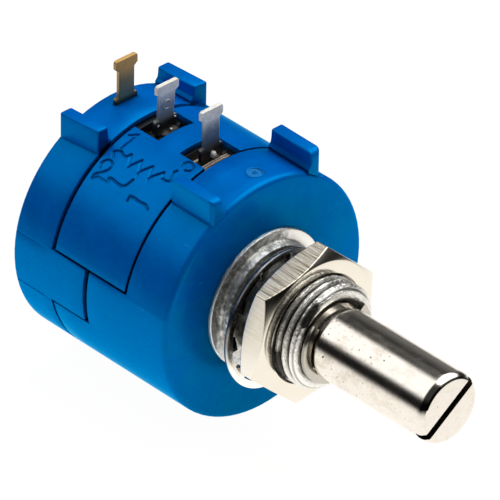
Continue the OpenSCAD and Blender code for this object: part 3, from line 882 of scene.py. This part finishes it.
def makeHousing():
    s = housing
    half = frontLid["saddleHalf"] - seamAngle
    window = degrees(asin(s["windowHalf"] / casingR))
    y0, y1 = frontSeamY + frontSeam / 2, rearSeamY - rearSeam / 2
    cell, row = s["markCell"], s["seamRow"]
    firstY, count = s["markRowsY"]
    rows = [firstY + cell * i for i in range(count)]
    ys = [y0, y0 + row] + rows + [y1 - row, y1]
    markStart, markEnd = degrees(s["markAlong"][0] / casingR), s["markEnd"]
    markSteps = round((markEnd - markStart) / degrees(cell / casingR))
    stops = [(markStart, 10), (markEnd, markSteps), (-window, 1), (window, 6), (half, 22)]
    bm = bmesh.new()
    turned(bm, [(s["skinR"], y) for y in ys], stops, -half)

    def keep(angle, centre):
        inWindow = abs(angle) < window and (centre.y < s["frontWindowY"]
                                            or centre.y > s["rearWindowY"])
        return not inWindow

    keepOnly(bm, keep)
    (left, right), (lowY, highY) = s["markAlong"], s["markY"]
    for v in bm.verts:
        along = radians(angleOf(v.co)) * casingR
        if left < along < right and lowY < v.co.y < highY:
            depth = strokeDepth(along, v.co.y)
            v.co.x *= 1 - depth / s["skinR"]
            v.co.z *= 1 - depth / s["skinR"]
    bmesh.ops.solidify(bm, geom=bm.faces[:], thickness=s["wall"])
    rounded(bm, sharpEdges(bm, 60), s["edge"])

    # the tube inside, painted near-black as shade, with its ledges round the windows
    ledge = degrees(asin((s["windowHalf"] - s["ledge"]) / s["tubeR"]))
    tube = bmesh.new()
    startY, slotY, endY = s["tubeEndsY"]
    tubeY = [startY, frontSeamY + s["ledge"], s["frontWindowY"] - s["ledge"],
             s["rearWindowY"] + s["ledge"], rearSeamY - s["ledge"], slotY, endY]
    turned(tube, [(s["tubeR"], y) for y in tubeY],
           evenStops([-180, -ledge, ledge, 180], 5), -180)

    def keepTube(angle, centre):
        y = centre.y
        inHole = abs(angle) < ledge and (tubeY[1] < y < tubeY[2] or tubeY[3] < y < tubeY[4]
                                         or y > tubeY[5])
        return not inHole

    keepOnly(tube, keepTube)
    bmesh.ops.solidify(tube, geom=tube.faces[:], thickness=s["tubeWall"])
    for face in tube.faces:
        face.material_index = 1
    join(bm, tube)
    finishPiece(bm, "housing", "casing", [blue, tubeShade], "housing")


makeHousing()


# bushing
bushing = {
    "threadR": 4.7625,
    "threadDepth": 0.45,
    "pitch": 0.79375,
    "endY": -7.1,
    "reliefY": -1.6,
    "reliefR": 3.9525,
    "bore": 3.2,
    "sinkR": 3.78,
    "sink": 0.42,
    "bossR": 5.2025,
    "bossY": 0.84,
    "collarR": 4.45,
    "crest": 0.3,       # share of the pitch that the worn crest takes
    "flangeR": 6.2525,
    "row": 0.05,
    "steps": 180,
}


def makeBushing():
    s = bushing
    endY, reliefY, row = s["endY"], s["reliefY"], s["row"]
    bossR, bossY, flangeR = s["bossR"], s["bossY"], s["flangeR"]
    flangeY = boxOf("front_lid")[0][1]
    rootR = s["threadR"] - s["threadDepth"]
    profile = [(s["bore"], flangeY + 1), (s["bore"], endY + s["sink"]),
               (s["sinkR"], endY), (rootR - 0.04, endY), (rootR, endY + 0.03)]
    rows = int((reliefY - 0.1 - endY) / row)
    profile += [(s["threadR"], endY + 0.05 + row * i) for i in range(rows)]
    profile += [(s["reliefR"], reliefY), (s["reliefR"], -0.02)]
    profile += [(bossR - 0.14, 0.0), (bossR - 0.05, 0.02), (bossR, 0.1)]
    profile += [(bossR, bossY - 0.3), (bossR + 0.03, bossY - 0.12),
                (bossR + 0.14, bossY - 0.02), (bossR + 0.3, bossY)]
    profile += [(flangeR - 0.1, bossY), (flangeR - 0.03, bossY + 0.03),
                (flangeR, bossY + 0.1), (flangeR, flangeY + 0.02),
                (flangeR - 1.5, flangeY + 0.02), (s["collarR"], flangeY + 0.02),
                (s["collarR"], flangeY + 1)]
    bm = bmesh.new()
    turned(bm, profile, [(360, s["steps"])])
    lowY, highY = endY + 0.04, reliefY - 0.08
    for v in bm.verts:
        y, r = v.co.y, radiusOf(v.co)
        if r > rootR + 0.1 and lowY < y < highY:
            turn = ((y - endY) / s["pitch"] - angleOf(v.co) / 360) % 1
            ridge = min(1, max(0, (abs(turn - 0.5) * 2 - s["crest"]) / 0.54))
            radius = rootR + s["threadDepth"] * (1 - ridge)
            radius = min(radius, rootR + (y - endY), s["reliefR"] + (reliefY - y) * 2.2)
            v.co.x *= radius / r
            v.co.z *= radius / r
    faceOutwards(bm)
    finishPiece(bm, "bushing", "casing", [nickel], "bushing", 50)


makeBushing()


# mounting nut
nut = {
    "flats": 12.44,
    "frontY": -5.08,
    "backY": -2.78,
    "angle": 12.7,
    "faceR": 6.1,
    "slope": 0.52,       # rise of the chamfer for each mm outwards
    "blankR": 7,         # of the round blank that is cut to six flats
    "bore": 4.79,
    "sinkR": 5.0,
    "sink": 0.2,
    "edge": 0.07,
    "stepsPerFlat": 24,
}


def makeNut():
    s = nut
    frontY, backY, faceR, blankR = s["frontY"], s["backY"], s["faceR"], s["blankR"]
    steps = 6 * s["stepsPerFlat"]
    profile = [(s["bore"], backY - s["sink"]), (s["bore"], frontY + s["sink"]),
               (s["sinkR"], frontY), (faceR, frontY),
               (blankR, frontY + 0.5), (blankR, backY - 0.5),
               (faceR, backY), (s["sinkR"], backY),
               (s["bore"], backY - s["sink"])]
    bm = bmesh.new()
    turned(bm, profile, [(s["angle"] + 360, steps)], s["angle"])
    for v in bm.verts:
        if radiusOf(v.co) > blankR - 0.2:
            fromFlat = (angleOf(v.co) - s["angle"]) % 60 - 30
            radius = s["flats"] / 2 / cos(radians(fromFlat))
            rise = (radius - faceR) * s["slope"]
            front = v.co.y < (frontY + backY) / 2
            y = frontY + rise if front else backY - rise
            v.co = around(angleOf(v.co), radius, y)
    faceOutwards(bm)
    for face in bm.faces:
        centre = face.calc_center_median()
        face.material_index = 1 if abs(face.normal.y) < 0.1 and radiusOf(centre) > 6 else 0
    corners = [e for e in sharpEdges(bm, 20)
               if all(radiusOf(v.co) > faceR - 0.05 for v in e.verts)]
    rounded(bm, corners, s["edge"])
    finishPiece(bm, "mountingNut", "nut", [nutFace, nutFlat], "mounting_nut", 12)


makeNut()


# lock washer
washer = {
    "outerR": 6.2225,
    "rim": 0.67,
    "thickness": 0.4,
    "bore": 5.0025,
    "teeth": 10,
    "toothWidth": 1.2,
    "toothThick": 0.32,
    "toothInset": 0.15,
    "edge": 0.06,
    "twist": 14,        # of each tooth
    "lean": 5.5,        # of the whole washer
    "hangSide": 30,     # degrees from straight down
    "hang": 0.99,
    "y": -0.82,
    "steps": 120,
}


def makeWasher():
    s = washer
    outer, half = s["outerR"], s["thickness"] / 2
    inner = outer - s["rim"]
    bm = lathe([(inner, -half), (outer, -half), (outer, half), (inner, half),
                (inner, -half)], s["steps"])
    rounded(bm, sharpEdges(bm, 60), s["edge"])
    for i in range(s["teeth"]):
        tooth = bmesh.new()
        bmesh.ops.create_cube(tooth, size=1)
        size = (s["toothWidth"], s["toothThick"], outer - s["bore"] - 2 * s["toothInset"])
        bmesh.ops.scale(tooth, vec=size, verts=tooth.verts)
        rounded(tooth, tooth.edges[:], s["edge"])
        turnMesh(tooth, radians(s["twist"]), "Z")
        moveMesh(tooth, (0, 0, (s["bore"] + outer) / 2 - s["toothInset"]))
        turnMesh(tooth, radians((i + 0.5) * 360 / s["teeth"]), "Y")
        join(bm, tooth)
    turnMesh(bm, radians(s["lean"]), "Z")
    side = radians(s["hangSide"])
    place = Vector((-sin(side) * s["hang"], s["y"], -cos(side) * s["hang"]))
    moveMesh(bm, place)
    finishPiece(bm, "lockWasher", "casing", [washerSteel], "lock_washer")


makeWasher()


# shaft and retaining ring
shaft = {
    "radius": 3.175,
    "tipY": -20.6,
    "bevel": 0.25,
    "bevelLength": 0.55,
    "edge": 0.26,
    "heel": 0.2,        # rounding between the bevel and the cylinder
    "grooveR": 2.855,
    "groove": (-8.15, -7.0),
    "slotWidth": 0.75,
    "slotDepth": 1.0,
    "slotAngle": 55,
    "slotShift": -0.12,
    "faceRow": 1.5,     # radius of a row of faces on the tip
    "rowsY": (-16, -12),
    "endY": 3,
    "steps": 144,
}
ring = {
    "innerR": 3.05,
    "outerR": 3.8,
    "frontY": -7.7,
    "thickness": 0.5,
    "edge": 0.08,
    "open": 95,         # degrees
    "openAt": 2.5,
    "steps": 80,
}


def cutSlot(bm, s):
    # a screwdriver slot across the tip: cut at its walls and floor, emptied, and closed again
    slotTurn = radians(s["slotAngle"])
    across = Vector((cos(slotTurn), 0, -sin(slotTurn)))
    floorY = s["tipY"] + s["slotDepth"]
    half = s["slotWidth"] / 2
    walls = [s["slotShift"] - half, s["slotShift"] + half]
    for offset in walls:
        geom = bm.verts[:] + bm.edges[:] + bm.faces[:]
        bmesh.ops.bisect_plane(bm, geom=geom, dist=0.0001,
                               plane_co=across * offset, plane_no=across)
    geom = bm.verts[:] + bm.edges[:] + bm.faces[:]
    bmesh.ops.bisect_plane(bm, geom=geom, dist=0.0001,
                           plane_co=(0, floorY, 0), plane_no=(0, 1, 0))
    inside = [f for f in bm.faces if f.calc_center_median().y < floorY
              and walls[0] < f.calc_center_median().dot(across) < walls[1]]
    bmesh.ops.delete(bm, geom=inside, context="FACES")
    for offset in walls:
        rimEdges = [e for e in bm.edges if e.is_boundary
                    and all(abs(v.co.dot(across) - offset) < 0.001 for v in e.verts)]
        ends = [v for e in rimEdges for v in e.verts if abs(v.co.y - floorY) < 0.001]
        low = bm.edges.new(sorted(set(ends), key=lambda v: v.index))
        bmesh.ops.contextual_create(bm, geom=rimEdges + [low])
    floor = [e for e in bm.edges if len(e.link_faces) == 1
             and all(abs(v.co.y - floorY) < 0.001 for v in e.verts)]
    bmesh.ops.contextual_create(bm, geom=floor)
    for face in bm.faces:
        centre = face.calc_center_median()
        onWall = min(abs(centre.dot(across) - w) for w in walls) < 0.001
        onFloor = abs(centre.y - floorY) < 0.001 and radiusOf(centre) < 1
        face.material_index = 1 if centre.y < floorY + 0.001 and (onWall or onFloor) else 0


def makeShaft():
    s = shaft
    tip, r = s["tipY"], s["radius"]
    front, back = s["groove"]
    slope = atan2(s["bevelLength"], s["bevel"])
    inner, edge = r - s["bevel"], s["edge"]
    nose = [(inner - edge * (1 - i / 8) ** 2, tip + edge * (i / 8) ** 2 * sin(slope) * 0.6)
            for i in range(9)]
    heelY, lean = tip + s["bevelLength"], s["bevel"] / s["bevelLength"]
    heel = [(r - lean * s["heel"] * (1 - i / 6) ** 2, heelY - s["heel"] + s["heel"] * i / 3)
            for i in range(7)]
    endY = s["endY"]
    bm = lathe([(0, tip), (s["faceRow"], tip)] + nose + heel
               + [(r, y) for y in (*s["rowsY"], front)]
               + [(s["grooveR"], front + 0.02), (s["grooveR"], back), (r, back),
                  (r, endY), (0, endY)], s["steps"])
    cutSlot(bm, s)
    faceOutwards(bm)
    finishPiece(bm, "shaft", "spindle", [shaftSteel, slotShadeSteel], "shaft", 24)


def makeRing():
    s = ring
    y0, y1 = s["frontY"], s["frontY"] + s["thickness"]
    e = s["edge"]
    start = s["openAt"] + s["open"] / 2
    r0, r1 = s["innerR"], s["outerR"]
    section = [(r0 + e, y0), (r1 - e, y0), (r1, y0 + e), (r1, y1 - e),
               (r1 - e, y1), (r0 + e, y1), (r0, y1 - e), (r0, y0 + e)]
    bm = bmesh.new()
    verts = [bm.verts.new(around(start, r, y)) for r, y in section]
    face = bm.faces.new(verts)
    bmesh.ops.spin(bm, geom=[face], cent=(0, 0, 0), axis=(0, 1, 0),
                   angle=radians(360 - s["open"]), steps=s["steps"])
    faceOutwards(bm)
    finishPiece(bm, "retainingRing", "spindle", [ringSteel], "retaining_ring")


makeShaft()
makeRing()


# terminals
terminal = {
    "blade": 0.83,
    "head": 1.2,
    "headHeight": 0.8,
    "shoulderZ": 11.6,
    "shoulderCut": 0.15,
    "neckSlope": 0.3,
    "corner": 0.22,
    "cornerCut": 0.07,
    "edge": 0.06,
    # solder at the feet of the terminals: places and radii
    "lumps": {1: [(-0.88, 13.3, 11.1, 0.15), (0.95, 13.25, 11.3, 0.11),
                  (0.1, 12.75, 10.62, 0.12)],
              3: [(0.0, 7.45, 10.85, 0.27), (-0.98, 7.72, 11.3, 0.14),
                  (0.98, 7.72, 11.35, 0.1)]},
    # potting round the feet of the terminals: places and half sizes
    "pools": {1: ((0.1, 13.2, 10.28), (1.15, 0.75, 0.36)),
              3: ((0.2, 7.75, 10.2), (1.0, 0.4, 0.33))},
    "poolBumps": (0.22, 2.2),
    "lumpBumps": (0.25, 4),
    "wing": 1.72,       # half width of the foot, and its height
    "wingHeight": 0.4,
    "footZ": 9.9,
    "ringThick": 0.07,
    "dent": (-0.05, 12.95, 0.42),   # ring punched in terminal 1: x, z and radius
    "shorter": {1: 0.16, 2: 0, 3: 0},
    "shift": {1: 0.1, 2: 0, 3: 0},
    "lean": {1: -0.06, 2: 0, 3: 0},  # how far the top leans along Y for each mm up
}


def makeTerminal(number, finish):
    s = terminal
    node = "terminal_%d" % number
    low, high = boxOf(node)
    top = high[2] - s["shorter"][number]
    foot = s["footZ"] if number != 2 else low[2]
    neck = top - s["headHeight"]
    head, blade, shoulderZ = s["head"], s["blade"], s["shoulderZ"]
    half = [(head, shoulderZ - s["shoulderCut"]), (head - s["shoulderCut"], shoulderZ),
            (blade, shoulderZ), (blade, neck - s["neckSlope"]), (head, neck),
            (head, top - s["corner"]), (head - s["cornerCut"], top - s["cornerCut"]),
            (head - s["corner"], top)]
    if number == 2:
        root = [(blade, foot), (blade, s["footZ"]), (head, s["footZ"])]
    else:
        wing, wingTop = s["wing"], foot + s["wingHeight"]
        root = [(wing, foot), (wing, wingTop), (head, wingTop)]
    side = root + half
    outline = side + [(-x, z) for x, z in reversed(side)]
    bm = extruded(outline, low[1], high[1])
    rounded(bm, sharpEdges(bm, 60), s["edge"])
    if number == 1:
        dentX, dentZ, dentR = s["dent"]
        join(bm, hoop((dentX, low[1], dentZ), dentR, s["ringThick"], "y"))
    if number in s["pools"]:
        poolPlace, poolSize = s["pools"][number]
        addLump(bm, poolPlace, poolSize, s["poolBumps"], (number, 0, 0), 2, 4)
    for x, y, z, radius in s["lumps"].get(number, []):
        addLump(bm, (x, y, z), (radius,) * 3, s["lumpBumps"], (x, y, 0), 1)
    for v in bm.verts:
        v.co.x += s["shift"][number]
        v.co.y += s["lean"][number] * max(0, v.co.z - casingR)
    finishPiece(bm, "terminal%d" % number, "casing", [finish, solder, potting], node, 12)


makeTerminal(1, dimpled)
makeTerminal(2, brass)
makeTerminal(3, tinned)


# welds and resistance element
weld = {
    "share": 0.93,      # of the room that a bead has
    "bumps": (0.12, 5),
}
coil = {
    "radius": 9.63,
    "wireR": 0.24,
    "startY": 13.415,
    "endY": 7.78,
    "turns": 10,
    "steps": 72,
    "sides": 12,
    "tailY": (6.48, 6.78, 7.08, 7.34),
    "tailR": 0.13,
    "tailRadius": 10.2,
    "tailTurn": 0.165,  # half the length of a loose turn, in radians
    "tailRise": 0.006,  # along Y for each of its steps
    "tailSteps": 24,
}


def makeWelds():
    low, high = boxOf("end_welds")
    r = (high[0] - low[0]) / 2
    x = (high[0] + low[0]) / 2
    z = (high[2] + low[2]) / 2
    bm = bmesh.new()
    for y in (low[1] + r, high[1] - r):
        addLump(bm, (x, y, z), (r * weld["share"],) * 3, weld["bumps"], (y, 0, 0))
    finishPiece(bm, "endWelds", "casing", [solder], "end_welds", 180)


def makeCoil():
    s = coil
    bm = bmesh.new()
    bmesh.ops.create_circle(bm, cap_ends=True, segments=s["sides"], radius=s["wireR"])
    turnMesh(bm, pi / 2, "Y")
    moveMesh(bm, (0, s["startY"], s["radius"]))
    steps = s["turns"] * s["steps"]
    drop = (s["endY"] - s["startY"]) / steps
    bmesh.ops.spin(bm, geom=bm.faces[:], cent=(0, 0, 0), axis=(0, 1, 0), dvec=(0, drop, 0),
                   angle=radians(360 * s["turns"]), steps=steps)
    for y in s["tailY"]:  # the loose turns in front of the first terminal
        tail = bmesh.new()
        bmesh.ops.create_circle(tail, cap_ends=True, segments=s["sides"], radius=s["tailR"])
        turnMesh(tail, pi / 2, "Y")
        moveMesh(tail, (0, y, s["tailRadius"]))
        turnMesh(tail, -s["tailTurn"], "Y")
        bmesh.ops.spin(tail, geom=tail.faces[:], cent=(0, 0, 0), axis=(0, 1, 0),
                       dvec=(0, s["tailRise"], 0), angle=2 * s["tailTurn"],
                       steps=s["tailSteps"])
        join(bm, tail)
    faceOutwards(bm)
    finishPiece(bm, "resistanceElement", "casing", [coilFinish],
                "resistance_element", 180)


makeWelds()
makeCoil()

# pieces that keep their own shape and get a finish
insideFinishes = {
    "rotor": rotorPlastic,
    "front_thrust_washer": washerPlastic,
    "rear_thrust_washer": washerPlastic,
    "wiper_carriage": carriagePlastic,
    "wiper_contact": contactMetal,
    "collector_strip": contactMetal,
    "collector_contact": contactMetal,
    "slip_ring": contactMetal,
    "brush": contactMetal,
}
for name, finish in insideFinishes.items():
    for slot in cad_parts[name].material_slots:
        slot.material = finish
print("inside pieces finished")

# studio
studio = {
    "stripTurn": 0.419,     # radians from straight up to the middle of the strip light
    "stripLevel": 1.3,
    # brightness round the shaft, from the strip's middle (0) to the far side (1)
    "strip": [(0.0, 1), (0.165, 1), (0.193, 0.2), (0.232, 0.016), (0.3, 0.003), (0.35, 0.008),
              (0.39, 0.018), (0.44, 0.045), (0.49, 0.08), (0.59, 0.14), (1.0, 0.14)],
    "roomLevel": 0.004,
    "overhead": (Vector((0.5, -0.06, 0.85)), 0.8, 0.88, 2.7),   # aim, edge, core, level
    "side": (Vector((0.57, -0.56, 0.6)), 0.82, 0.88, 0.15),
    "floorZ": -11.13,
    "floorSize": 1500,
    "floorGlow": 0.22,
    "floorGloss": 1.15,
    "floorShadow": 0.1,     # how much of the floor's own shading shows under the white
}


def makeFloor():
    s = studio
    f = Finish("floorWhite")
    diffuse = f.node("ShaderNodeBsdfDiffuse", {}, {0: rgb(0.68, 0.675, 0.66), "Roughness": 0.4})
    away = f.node("ShaderNodeVectorMath", {"operation": "LENGTH"}, {0: f.place()}, "Value")
    fall = f.ramp(away / 600, [(0.0, (1, 0.965, 0.91)), (0.05, (1, 0.965, 0.91)),
                               (0.08, (0.9, 0.865, 0.82)), (0.15, (0.58, 0.56, 0.52)),
                               (0.25, (0.16, 0.155, 0.15)), (0.5, (0.04, 0.04, 0.04)),
                               (1.0, (0.02, 0.02, 0.02))])
    glow = f.node("ShaderNodeEmission", {}, {0: fall, 1: s["floorGlow"]})
    lit = f.node("ShaderNodeAddShader", {}, {0: diffuse, 1: glow})
    white = f.node("ShaderNodeEmission", {}, {0: rgb(1, 1, 1), 1: 1.06})
    cream = f.node("ShaderNodeEmission", {}, {0: fall, 1: s["floorGloss"]})
    camera = f.node("ShaderNodeLightPath", output="Is Camera Ray")
    glossy = Wire(f, camera.socket.node.outputs["Is Glossy Ray"])
    through = Wire(f, camera.socket.node.outputs["Is Transmission Ray"])
    seen = f.node("ShaderNodeMixShader", {}, {0: (camera + through) * (1 - s["floorShadow"]),
                                              1: lit, 2: white})
    both = f.node("ShaderNodeMixShader", {}, {0: glossy, 1: seen, 2: cream})
    f.node("ShaderNodeOutputMaterial", {}, {0: both})
    bm = bmesh.new()
    bmesh.ops.create_grid(bm, x_segments=1, y_segments=1, size=s["floorSize"])
    moveMesh(bm, (0, 0, s["floorZ"]))
    asObject(bm, "floor", [f.owner])


def makeWorld():
    s = studio
    f = Finish("lampRoom", world=True)
    way = f.node("ShaderNodeTexCoord", output="Generated")
    x, y, z = f.axes(way)
    roll = f.maths("ARCTAN2", x, z) + s["stripTurn"]
    across = f.maths("ABSOLUTE", roll) / pi
    strip = f.level(across, *s["strip"])
    reach = f.level(y, (0.2, 0.1), (0.38, 1), (0.88, 1), (0.97, 0.2))
    room = strip * reach * s["stripLevel"] + s["roomLevel"]
    for aim, edge, core, level in (s["overhead"], s["side"]):
        facing = f.node("ShaderNodeVectorMath", {"operation": "DOT_PRODUCT"},
                        {0: way, 1: tuple(aim.normalized())}, "Value")
        room = room + ((facing - edge) / (core - edge)).clamped() * level
    rays = f.node("ShaderNodeLightPath", output="Is Camera Ray")
    lamp = f.node("ShaderNodeBackground", {}, {0: rgb(1, 0.985, 0.955), 1: room})
    white = f.node("ShaderNodeBackground", {}, {0: rgb(1, 1, 1), 1: 1.0})
    both = f.node("ShaderNodeMixShader", {}, {0: rays, 1: lamp, 2: white})
    f.node("ShaderNodeOutputWorld", {}, {0: both})
    bpy.context.scene.world = f.owner


view = {
    "azimuth": -43.79,     # degrees
    "elevation": 33.91,
    "roll": 1.08,
    "distance": 600,
    "slide": (-1.149, 3.804),
    "aimY": 1.14,
    "lens": 527.8,
    "sensor": 36,
    "clip": (0.05, 5),     # metres
}


def makeCamera():
    s = view
    a, e, roll = radians(s["azimuth"]), radians(s["elevation"]), radians(s["roll"])
    back = Vector((sin(a) * cos(e), -cos(a) * cos(e), sin(e)))
    level = Vector((cos(a), sin(a), 0))
    upright = back.cross(level)
    right = level * cos(roll) + upright * sin(roll)
    up = upright * cos(roll) - level * sin(roll)
    slideX, slideY = s["slide"]
    spot = back * s["distance"] + right * slideX + up * slideY + Vector((0, s["aimY"], 0))
    data = bpy.data.cameras.new("camera")
    data.lens, data.sensor_width = s["lens"], s["sensor"]
    data.clip_start, data.clip_end = s["clip"]
    camera = bpy.data.objects.new("camera", data)
    pose = Matrix((right, up, back)).transposed().to_4x4()
    camera.matrix_world = Matrix.Translation(spot * mm) @ pose
    bpy.context.scene.collection.objects.link(camera)
    bpy.context.scene.camera = camera


makeFloor()
makeWorld()
makeCamera()
bpy.context.scene.view_settings.view_transform = "Standard"
print("studio ready")
